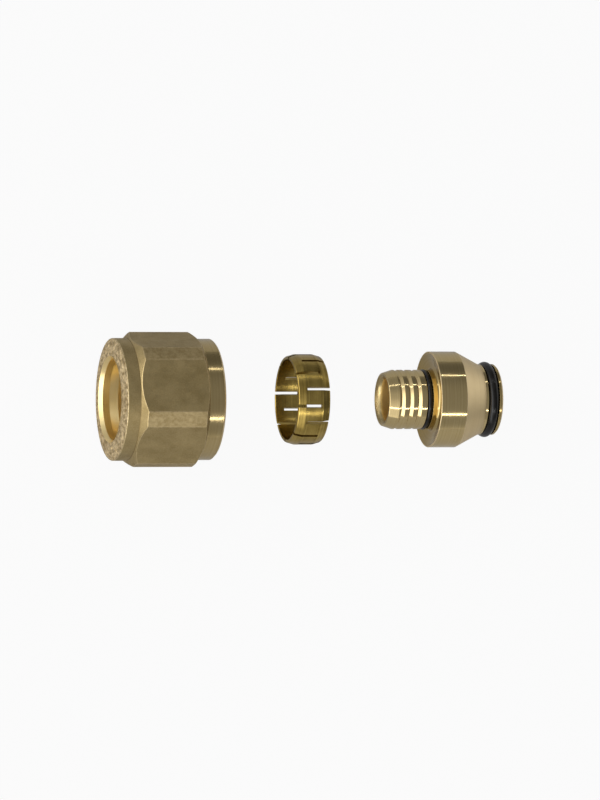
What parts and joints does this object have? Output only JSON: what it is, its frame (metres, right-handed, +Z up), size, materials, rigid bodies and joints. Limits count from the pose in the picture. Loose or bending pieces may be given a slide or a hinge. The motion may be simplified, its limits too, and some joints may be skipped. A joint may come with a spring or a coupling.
{
  "type": "pipe compression fitting",
  "caption": "Brass compression fitting for plastic pipe: a hexagon union nut, a slit clamping ring and a barbed insert with O-rings and a sealing cone, apart in a row on one axis.",
  "frame": {"origin": "on the axis of the fitting, in the plane of the insert's shoulder rim", "axes": "+X along the axis from the nut to the nose of the insert, +Z up, square to the nut's upper flat"},
  "size_m": [0.0962, 0.0324, 0.03],
  "materials": {
    "forged_brass": "hot-forged and blasted, matte, with machined ends",
    "ring_brass": "turned, satin",
    "turned_brass": "turned, bright",
    "black_rubber": "moulded, slightly glossy"
  },
  "bodies": {
    "insert": {"insert_body": "turned_brass", "tail_oring": "black_rubber", "nose_oring": "black_rubber"},
    "ring": {"split_ring": "ring_brass"},
    "nut": {"union_nut": "forged_brass"}
  },
  "joints": [
    {"name": "ring_slide", "type": "slide", "parent": "insert", "child": "ring", "axis": [1, 0, 0], "range_m": [0, 0.02776]},
    {"name": "nut_slide", "type": "slide", "parent": "ring", "child": "nut", "axis": [1, 0, 0], "range_m": [0, 0.04048]}
  ]
}
